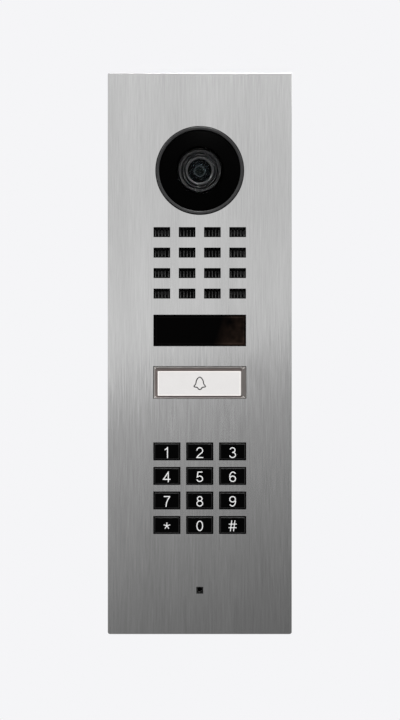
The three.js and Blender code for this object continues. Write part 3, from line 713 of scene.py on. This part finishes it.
barrel = rounded(
    [
        (3.9, 15.3), (5.6, 15.3), (5.6, 23.6), (6.05, 23.6), (6.05, 29.3, 0.2), (5.6, 29.9, 0.15),
        (4.9, 29.5, 0.1), (4.9, 26.4), (2.1, 26.0), (2.1, 25.6), (3.9, 25.4),
    ],
    support=0.02,
)
tube = Shell().turn(barrel, camera.x, camera.y, 96)
# The bore round the front element is darker than the barrel's rim.
for i, face in enumerate(tube.faces):
    around = [tube.points[v] for v in face]
    if all(math.hypot(x - camera.x, y - camera.y) < 4.95 and z > 25.3 for x, y, z in around):
        tube.accent.append(i)
piece("Lens_barrel", tube, BARREL_BLACK, "black_plastic", replaces="lens_barrel", accent=BARREL_DARK)
front_glass = cap_arc(3.4, 26.7, 1.1, 8)[::-1] + [(4.6, 26.7), (4.6, 28.9)] + cap_arc(4.5, 28.9, 2.1, 14)
turned("Lens_front_element", front_glass, camera, LENS, "coated_glass", 96, replaces="lens_front_element")

eye = rounded([(1.75, 25.75), (2.15, 25.75), (2.15, 26.15, 0.1), (1.75, 26.25, 0.1)], support=0.01)
turned("Lens_inner_ring", eye, camera, BARREL_GREY, "grey_plastic", 64)

# ------------------------------------------------------------------ speaker grille

RIB_PITCH = 1.34
RIBS = 5  # in each slot
GRILLE_FACE = 26.95
SOUND_HOLE = (0.6, 1.5)
HOLE_COLUMNS, HOLE_ROWS, HOLE_ROW_PITCH = 27, 15, 2.05


def rib(x, y):
    """A small upright rib in the lower part of a slot, sloping back towards its top."""
    return Shell().loft(
        [
            (rectangle(0.4, 2.8, x, y - 0.45, 0.06, steps=2), 27.0),
            (rectangle(0.36, 2.4, x, y - 0.6, 0.06, steps=2), 27.3),
            (rectangle(0.2, 1.3, x, y - 0.95, 0.06, steps=2), 27.65),
        ]
    )


ribs = [rib(x + (i - (RIBS - 1) / 2) * RIB_PITCH, y) for x, y in slots for i in range(RIBS)]
# The ribs' grey, lighter than the black grille, is painted light on the lower part of each slot.
piece("Speaker_grille_ribs", ribs, RIB_PAINTED_LIGHT, "black_plastic")
sound_holes = [
    rectangle(*SOUND_HOLE, speaker.x + (i - 13) * RIB_PITCH, speaker.y + (j - 7) * HOLE_ROW_PITCH, 0.1, steps=2)
    for i in range(HOLE_COLUMNS)
    for j in range(HOLE_ROWS)
]
grille = Shell().plate(
    rectangle(speaker.width, speaker.height, speaker.x, speaker.y, 0.6),
    speaker.back,
    GRILLE_FACE,
    0.06,
    sound_holes,
    0.0,
)
piece("Speaker_grille", grille, GRILLE_BLACK, "black_plastic", replaces="speaker_grille")

# ------------------------------------------------------------------ sensor window

pane = rectangle(WINDOW_OPENING[0] - 0.3, WINDOW_OPENING[1] - 0.3, window.x, window.y, 0.4)
flange = rectangle(window.width, window.height, window.x, window.y, 0.8)
levels = [(grown(flange, -i), window.back + d) for i, d in edge_steps(0.15)]
levels += [(flange, FLANGE_FRONT), (pane, FLANGE_FRONT)]
levels += [(grown(pane, -i), window.front - d) for i, d in reversed(edge_steps(0.3))]
piece("Sensor_window", Shell().loft(levels), WINDOW_BLACK, "gloss_black", replaces="sensor_window")

line, hollow = [
    rectangle(WINDOW_OPENING[0] - inset, WINDOW_OPENING[1] - inset, window.x, window.y, 0.3, steps=3)
    for inset in (1.9, 2.4)
]
# A hair line runs inside the window's edge, lighter than the pane: a painted highlight, with painted sheen at its right
# end.
rim_line = Shell().plate(line, window.front - 0.02, window.front + 0.004, 0, [hollow], 0)
piece("Sensor_window_highlight_line", rim_line, WINDOW_LINE_HIGHLIGHT, "gloss_black")

# ------------------------------------------------------------------ call button


def span(left, right, bottom, top, radius=0.2):
    return rectangle(right - left, top - bottom, (left + right) / 2, (bottom + top) / 2, radius)


label = Place("call_button_label")
LABEL_FRONT = 30.3
GROOVE_FLOOR = 29.7
left, right = button.x - 18.7, button.x + 18.7
bottom, top = button.y - 6.5, button.y + 6.35
outer = span(left, right, bottom, top, 0.3)
ridge = span(left + 0.6, right - 1.4, bottom + 0.28, top - 0.45, 0.9)
rim = span(left + 0.12, right - 0.12, bottom + 0.08, top - 0.12, 0.4)
ledge = span(label.left - 0.06, label.right + 0.06, label.bottom - 0.06, label.top + 0.06)
frame_ring = Shell()
frame_rings = [
    frame_ring.ring(outer, button.back),
    frame_ring.ring(outer, button.front - 0.1),
    frame_ring.ring(grown(outer, -0.1), button.front),
    frame_ring.ring(rim, button.front),
    frame_ring.ring(grown(ridge, 0.05), button.front - 0.22),
    frame_ring.ring(ridge, button.front - 0.26),
    frame_ring.ring(ridge, button.back),
]
frame_ring.wall(*frame_rings, frame_rings[0])
# The inner slope takes painted shade at the right and at the bottom: a darker copy of the smoke plastic.
for i in range(3 * len(outer), 4 * len(outer)):
    around = [frame_ring.points[v] for v in frame_ring.faces[i]]
    if all(x > right - 1.5 for x, y, z in around) or all(y < bottom + 0.4 for x, y, z in around):
        frame_ring.accent.append(i)
piece(
    "Call_button_frame", frame_ring, SMOKE, "smoke_plastic", "call_button", replaces="call_button_cap",
    accent=EDGE_PAINTED_SHADE,
)
# The groove round the label is a darker, browner copy of the smoke plastic: painted shade of the recess.
inner = grown(ridge, -0.02)
groove = Shell()
groove_rings = [
    groove.ring(inner, button.back),
    groove.ring(inner, button.front - 0.6),
    groove.ring(span(left + 0.7, right - 1.5, bottom + 0.3, top - 0.6, 0.9), button.front - 0.7),
    groove.ring(grown(ledge, 0.05), GROOVE_FLOOR),
    groove.ring(ledge, GROOVE_FLOOR),
    groove.ring(ledge, button.back),
]
groove.wall(*groove_rings, groove_rings[0])
piece("Call_button_groove", groove, GROOVE_PAINTED_SHADE, "smoke_plastic", "call_button")
# A small facet with a painted highlight, much lighter than the frame, crosses each corner of the frame.
mitres = []
for x, y, sx, sy in (
    (left + 0.45, top - 0.45, -1, 1), (right - 0.75, top - 0.5, 1, 1),
    (left + 0.45, bottom + 0.55, -1, -1), (right - 0.75, bottom + 0.55, 1, -1),
):
    along, side = Vector((sx, sy)).normalized() * 0.42, Vector((-sy, sx)).normalized() * 0.15
    here = Vector((x, y))
    foot = ccw([here - along - side, here + along - side, here + along + side, here - along + side])
    facet = [(foot, button.front - 0.3), (foot, button.front - 0.02), (grown(foot, -0.05), button.front)]
    mitres.append(Shell().loft(facet))
piece("Call_button_mitre_highlights", mitres, MITRE_HIGHLIGHT, "clear_plastic", "call_button")
edge_left, edge_right = label.right + 0.08, right - 1.5
edge_levels = [
    (span(edge_left + i, edge_right - i, label.bottom + 0.1 + i, label.top - 0.1 - i, 0.1), LABEL_FRONT - 0.1 - d)
    for i, d in ((0, 0.5), (0, 0.1), (0.1, 0))
]
piece("Call_button_edge", Shell().loft(edge_levels), EDGE_LIGHT, "clear_plastic", "call_button")
film = Shell().plate(
    rectangle(label.width, label.height, label.x, label.y, 0.2), LABEL_FRONT - 0.25, LABEL_FRONT, 0.03
)
# A thin ring round the label's edge, lighter than the label, is a painted highlight.
border = Shell().plate(
    rectangle(label.width - 0.1, label.height - 0.1, label.x, label.y, 0.2),
    LABEL_FRONT,
    LABEL_FRONT + 0.02,
    0,
    [rectangle(label.width - 0.9, label.height - 0.9, label.x, label.y, 0.2)],
)
piece("Call_button_label_highlight", border, BORDER_HIGHLIGHT_WHITE, "white_film", "call_button")
piece("Call_button_label", film, WHITE, "white_film", "call_button", replaces="call_button_label")
half_bell = [(0.3, 2.4), (0.78, 2.0), (1.18, 1.45), (1.42, 0.85), (1.55, 0.2), (1.68, -0.4), (2.1, -0.9)]
half_bell += [(2.35, -1.25), (2.2, -1.52), (1.65, -1.6), (1.05, -1.72)]
bell = [(0, 2.5), *half_bell, *arc(0, -1.75, 0.85, 0.8, -8, -172, 10), *[(-x, y) for x, y in half_bell[::-1]]]
quads = stroke_shapes([(label.x + x + 0.2, label.y + y + 0.1) for x, y in bell], 0.42, True)
piece(
    "Bell_mark", print_shell(quads, LABEL_FRONT + 0.01, LABEL_FRONT + 0.03), PRINT_GREY, "white_film", "call_button"
)


def coil(x, y, back, front, radius, wire, turns, steps=28, around=8):
    """A round wire wound about the axis through (x, y)."""
    shell, rings = Shell(), []
    for k in range(turns * steps + 1):
        a = 2 * math.pi * k / steps
        rise = back + wire + (front - back - 2 * wire) * k / (turns * steps)
        rings.append(list(range(len(shell.points), len(shell.points) + around)))
        for i in range(around):
            b = 2 * math.pi * i / around
            reach = radius + wire * math.cos(b)
            shell.points.append((x + reach * math.cos(a), y + reach * math.sin(a), rise + wire * math.sin(b)))
    shell.wall(*rings)
    shell.faces += [tuple(rings[0]), tuple(rings[-1])]
    return shell


for side in ("left", "right"):
    spring = Place(f"button_spring_{side}")
    made = piece(
        f"Button_spring_{side}", coil(spring.x, button.y, spring.back, spring.front, 2, 0.22, 5), BRIGHT,
        "bright_metal", replaces=f"button_spring_{side}",
    )
    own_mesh(made)

# ------------------------------------------------------------------ keypad

KEY_BASE = 26.2
KEY_EDGE = ((0.05, 0.45), (0.22, 0.16), (0.36, 0.03), (0.46, 0))  # (inset, drop) from the wall to the face
KEY_STEM = [(0, 24.8), (1.3, 24.8), (1.5, 25), (1.5, 26.5), (0, 26.5)]
PEN, FINE_PEN = 0.4, 0.34
TOP_MARK, OTHER_MARK = (4.6, 0.48), (4.45, 0.32)  # (height, drop below the key's middle)
CAP_WIDTH, CAP_HEIGHT = KEY_OPENING[0] - 2 * GAP, KEY_OPENING[1] - 2 * GAP


def key_ring(key, inset):
    """The outline of a key cap's face, moved inwards."""
    width, height = CAP_WIDTH - 2 * inset, CAP_HEIGHT - 2 * inset
    return rectangle(width, height, key.x, key.y, max(0.12, 0.3 - inset))


for name, key in KEYS.items():
    base = rectangle(key.width, key.height, key.x, key.y, 0.4)
    levels = [(grown(base, -i), KEY_BASE + d) for i, d in edge_steps(0.1)]
    levels += [(base, FLANGE_FRONT), (key_ring(key, 0), FLANGE_FRONT), (key_ring(key, 0), key.front - 0.55)]
    levels += [(key_ring(key, i), key.front - d) for i, d in KEY_EDGE]
    stem = Shell().turn(KEY_STEM, key.x, key.y, 32)
    # The rounded edge next to each key's face takes a lighter black: a painted highlight along the rim.
    cap = Shell().loft(levels, accent=[-2])
    piece(
        f"Keycap_{name}", [cap, stem], KEY_BLACK, "black_plastic", f"key_{name}_body", f"key_{name}", KEY_RIM_HIGHLIGHT
    )
    tall, drop = TOP_MARK if name in "123" else OTHER_MARK
    quads = mark_quads(MARKS[name], tall, FINE_PEN if name in ("star", "hash") else PEN, key.x, key.y - drop)
    ink = print_shell(quads, key.front + 0.005, key.front + 0.02)
    piece(f"Mark_{name}", ink, PRINT_WHITE, "white_film", f"key_{name}_body")

# The mat behind the keys, and its domes, which give way under the key stems.
mat = Place("keypad_membrane")
MAT_FRONT = mat.back + 1
mat_sheet = Shell().plate(
    rectangle(mat.width, mat.height, mat.x, mat.y, 1.5), mat.back, MAT_FRONT, 0.15,
    [circle(4, key.x, key.y, 40) for key in KEYS.values()],
)
piece("Keypad_membrane", mat_sheet, SILICONE, "silicone", replaces="keypad_membrane")
dome_profile = rounded(
    [
        (0, mat.front - 0.9), (1.7, mat.front - 0.9, 0.3), (3.3, mat.back, 0.1), (3.95, mat.back), (3.95, MAT_FRONT),
        (3.75, MAT_FRONT, 0.3), (2.3, mat.front, 0.3), (0, mat.front),
    ],
    closed=False,
    support=0.02,
)
for name, key in KEYS.items():
    made = turned(f"Key_dome_{name}", dome_profile, key, SILICONE, "silicone", 40)
    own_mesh(made)

# ------------------------------------------------------------------ microphone

boot = Place("microphone_boot")
boot_profile = rounded(
    [(1, boot.front, 0.15), (4.6, boot.front), (4.6, boot.back), (3.3, boot.back), (3.3, 24.8), (1, 24.8)],
    support=0.02,
)
turned("Microphone_boot", boot_profile, mic, RUBBER, "rubber", 48, replaces="microphone_boot")
turned("Microphone_felt", [(0, 24.45), (0.95, 24.45), (0.95, 24.6), (0, 24.6)], mic, SEAL_BLACK, "rubber", 32)

# ------------------------------------------------------------------ rear housing

housing = Place("rear_housing")
WALL, BASE, LIP, LIP_THICKNESS = 1.5, 2.5, 4.0, 1.5
SCREW_X, SCREW_Y, SCREW_HOLE, SCREW_SINK, SINK_DEPTH = 24, 84, 2.5, 4.8, 1.3
ENTRY_Y, ENTRY_HOLE, ENTRY_SEAT, SEAT_DEPTH = -62, 10, 13, 1.2
DRAIN_X, DRAIN_Z, DRAIN_HOLE = 22, 8, 1.5
shell_outer = rectangle(housing.width, housing.height, 0, 0, 1.3, steps=6)
shell_inner = rectangle(housing.width - 2 * WALL, housing.height - 2 * WALL, 0, 0, 1.3, steps=6)
lip_edge = rectangle(housing.width - 2 * LIP, housing.height - 2 * LIP, 0, 0, 1.3, steps=6)
tray = Shell()
bevel = edge_steps(0.35)
body_rings = [tray.ring(grown(shell_outer, -i), housing.back + d) for i, d in bevel]
body_rings += [tray.ring(grown(shell_outer, -i), housing.front - d) for i, d in reversed(bevel)]
body_rings += [
    tray.ring(grown(lip_edge, 0.1), housing.front),
    tray.ring(lip_edge, housing.front - 0.1),
    tray.ring(lip_edge, housing.front - LIP_THICKNESS),
    tray.ring(shell_inner, housing.front - LIP_THICKNESS),
    tray.ring(shell_inner, BASE),
]
tray.wall(*body_rings)
screw_hole = [
    (SCREW_HOLE + 0.1, 0), (SCREW_HOLE, 0.1), (SCREW_HOLE, BASE - SINK_DEPTH), (SCREW_SINK, BASE),
]
entry_hole = [
    (ENTRY_SEAT + 0.1, 0), (ENTRY_SEAT, 0.1), (ENTRY_SEAT, SEAT_DEPTH), (ENTRY_HOLE, SEAT_DEPTH), (ENTRY_HOLE, BASE),
]
holes = [(screw_hole, sx * SCREW_X, sy * SCREW_Y, 48) for sx in (-1, 1) for sy in (-1, 1)]
holes.append((entry_hole, 0, ENTRY_Y, 96))
outside_holes, inside_holes = [], []
for steps, x, y, count in holes:
    hole_rings = [tray.ring(circle(radius, x, y, count), z) for radius, z in steps]
    tray.wall(*hole_rings)
    outside_holes.append(hole_rings[0])
    inside_holes.append(hole_rings[-1])
tray.cap(body_rings[0], outside_holes)
tray.cap(body_rings[-1], inside_holes)
rear = piece("Rear_housing", tray, HOUSING_STEEL, "brushed_steel", replaces="rear_housing")


def cut_hole(target, x, z, low_radius, high_radius, low, high):
    """Cuts a round or conical hole that runs upwards, from y = low to y = high."""
    build = bmesh.new()
    bmesh.ops.create_cone(
        build, cap_ends=True, segments=40, radius1=low_radius * MM, radius2=high_radius * MM, depth=(high - low) * MM
    )
    mesh = bpy.data.meshes.new("cutter")
    build.to_mesh(mesh)
    build.free()
    cutter = bpy.data.objects.new("cutter", mesh)
    bpy.context.scene.collection.objects.link(cutter)
    cutter.location = at(x, (low + high) / 2, z)
    tool = target.modifiers.new("hole", "BOOLEAN")
    tool.object, tool.operation, tool.solver = cutter, "DIFFERENCE", "EXACT"
    bpy.context.view_layer.update()
    made = bpy.data.meshes.new_from_object(target.evaluated_get(bpy.context.evaluated_depsgraph_get()))
    target.modifiers.clear()
    old, target.data = target.data, made
    bpy.data.meshes.remove(old)
    bpy.data.objects.remove(cutter)


screw = Place("security_screw")
for x in (-DRAIN_X, DRAIN_X):
    cut_hole(rear, x, DRAIN_Z, DRAIN_HOLE, DRAIN_HOLE, housing.bottom - 1, housing.bottom + WALL + 1)
SCREW_Z = (screw.back + screw.front) / 2
cut_hole(rear, 0, SCREW_Z, 1.8, 1.8, housing.bottom - 1, housing.bottom + WALL + 1)
cut_hole(rear, 0, SCREW_Z, 3.5, 1.8, housing.bottom - 0.01, housing.bottom + 1.3)

gasket = Place("housing_gasket")
GASKET_WIDTH = 2.7
opening = rectangle(gasket.width - 2 * GASKET_WIDTH, gasket.height - 2 * GASKET_WIDTH, 0, 0, 1.0)
strip = Shell().plate(
    rectangle(gasket.width, gasket.height, 0, 0, 1.0), gasket.back, gasket.front, 0.2, [opening]
)
piece("Housing_gasket", strip, RUBBER, "rubber", replaces="housing_gasket")

grommet = Place("cable_grommet")
grommet_profile = rounded(
    [
        (4, grommet.back, 0.3), (12.7, grommet.back, 0.3), (12.7, 0.9), (9.7, 0.9), (9.7, 2.8),
        (12.5, 2.8, 0.2), (11.6, grommet.front, 0.3), (4, grommet.front, 0.3),
    ],
    support=0.02,
)
turned("Cable_grommet", grommet_profile, grommet, RUBBER, "rubber", 80, replaces="cable_grommet")

# ------------------------------------------------------------------ stage, light and camera


# How bright the surround is in front of the panel, at each sine of the angle above the horizon.
WORLD_LEVELS = [
    (-0.5, 0.5), (-0.25, 0.42), (-0.14, 0.17), (-0.1, 0.19), (-0.085, 0.228), (-0.057, 0.32), (-0.03, 0.405),
    (-0.015, 0.44), (-0.007, 0.47), (0.0, 0.86), (0.02, 0.88), (0.06, 0.82), (0.1, 0.88), (0.5, 0.85),
]
WORLD_TILT = 0.22  # how much the horizon of that surround leans, from left to right
SIDE_FALL = 2.2  # how much its brightness changes from left to right, within the reach
SIDE_REACH = 0.2
FRONT_SECTOR = (-0.97, -0.9)  # the y of a direction: beyond the first all gradient, short of the second none
CAMERA_GREY = (0.913, 0.913, 0.93, 1)
FLOOR_DROP = 1.0  # metres
FLOOR_RADIUS = 4000


def soft_world():
    """A pale studio surround. What the front of the panel reflects has the gradient of WORLD_LEVELS, the rest is
    soft and even, and the camera itself sees plain pale grey."""
    world = bpy.data.worlds.new("Studio")
    bpy.context.scene.world = world
    world.use_nodes = True
    tree = world.node_tree
    tree.nodes.clear()

    def node(kind, inputs=None, **settings):
        return add_node(tree, kind, inputs, **settings).outputs[0]

    def ramp(value, start, end, low, high):
        return node(
            "ShaderNodeMapRange", {"Value": value, "From Min": start, "From Max": end, "To Min": low, "To Max": high}
        )

    split = add_node(tree, "ShaderNodeSeparateXYZ", {0: add_node(tree, "ShaderNodeTexCoord").outputs["Generated"]})
    across, along, up = split.outputs
    tilt = node("ShaderNodeMath", {0: across, 1: -WORLD_TILT, 2: up}, operation="MULTIPLY_ADD")
    low, high = WORLD_LEVELS[0][0], WORLD_LEVELS[-1][0]
    curve = add_node(tree, "ShaderNodeFloatCurve", {"Value": ramp(tilt, low, high, 0, 1)})
    line = curve.mapping.curves[0]
    spots = [((sine - low) / (high - low), level) for sine, level in WORLD_LEVELS]
    line.points[0].location, line.points[1].location = spots[0], spots[-1]
    for spot in spots[1:-1]:
        line.points.new(*spot)
    for point in line.points:
        point.handle_type = "VECTOR"
    curve.mapping.update()
    level = curve.outputs[0]
    reach = node("ShaderNodeClamp", {"Value": across, "Min": -SIDE_REACH, "Max": SIDE_REACH})
    fade = ramp(tilt, 0.03, 0.1, -SIDE_FALL, 0.3 * SIDE_FALL)
    side = node("ShaderNodeMath", {0: reach, 1: fade}, operation="MULTIPLY")
    front = node("ShaderNodeMath", {0: level, 1: side, 2: level}, operation="MULTIPLY_ADD")
    blend = {"Factor": ramp(along, *FRONT_SECTOR, 1, 0), "A": ramp(up, -0.5, 0, 0.5, 0.82), "B": front}
    glow = node("ShaderNodeBackground", {"Color": (1, 1, 1, 1), "Strength": node("ShaderNodeMix", blend)})
    plain = node("ShaderNodeBackground", {"Color": CAMERA_GREY})
    seen = add_node(tree, "ShaderNodeLightPath").outputs["Is Camera Ray"]
    add_node(tree, "ShaderNodeOutputWorld", {0: node("ShaderNodeMixShader", {0: seen, 1: glow, 2: plain})})


soft_world()

floor = Shell().loft([(circle(FLOOR_RADIUS, count=96), -2), (circle(FLOOR_RADIUS, count=96), 0)])
mesh = bpy.data.meshes.new("Floor")
mesh.from_pydata([(x * MM, y * MM, z * MM - FLOOR_DROP) for x, y, z in floor.points], [], floor.faces)
ground = bpy.data.objects.new("Floor", mesh)
bpy.context.scene.collection.objects.link(ground)
ground.data.materials.append(moulded("Pale_floor", (0.75, 0.75, 0.76), 0.8, 0.02, 0.0, 0.01))


def area_light(name, place, target, size, power):
    light = bpy.data.lights.new(name, "AREA")
    light.shape, light.size, light.size_y = "RECTANGLE", *size
    light.energy = power
    lamp = bpy.data.objects.new(name, light)
    bpy.context.scene.collection.objects.link(lamp)
    lamp.location = place
    lamp.rotation_euler = (Vector(target) - Vector(place)).to_track_quat("-Z", "Y").to_euler()


area_light("Top_light", (0, -0.1, 1.25), (0, 0, 0), (0.5, 0.3), 5)
area_light("Front_light", (0.15, -1.0, 1.15), (0, 0, 0.03), (0.35, 0.2), 16)
area_light("Left_light", (-1.1, -0.7, 0.9), (0, 0, 0), (0.5, 0.5), 5)
area_light("Right_light", (0.95, -1.1, 0.45), (0, 0, 0), (0.3, 0.3), 2)

CAMERA_DISTANCE = 1.15  # metres
PIXEL = 75 / 184  # millimetres to a pixel at the plate's face
TALL = 720  # pixels
SENSOR = 36
sight = bpy.data.cameras.new("Camera")
sight.sensor_fit = "AUTO"
sight.sensor_width = SENSOR
sight.lens = SENSOR / (TALL * PIXEL * MM / CAMERA_DISTANCE)
viewer = bpy.data.objects.new("Camera", sight)
bpy.context.scene.collection.objects.link(viewer)
viewer.location = at(0.1, -2.55, FACE) + Vector((0, -CAMERA_DISTANCE, 0))
viewer.rotation_euler = (math.pi / 2, 0, 0)
sight.clip_start, sight.clip_end = 0.05, 20
bpy.context.scene.camera = viewer
bpy.context.scene.view_settings.view_transform = "Standard"
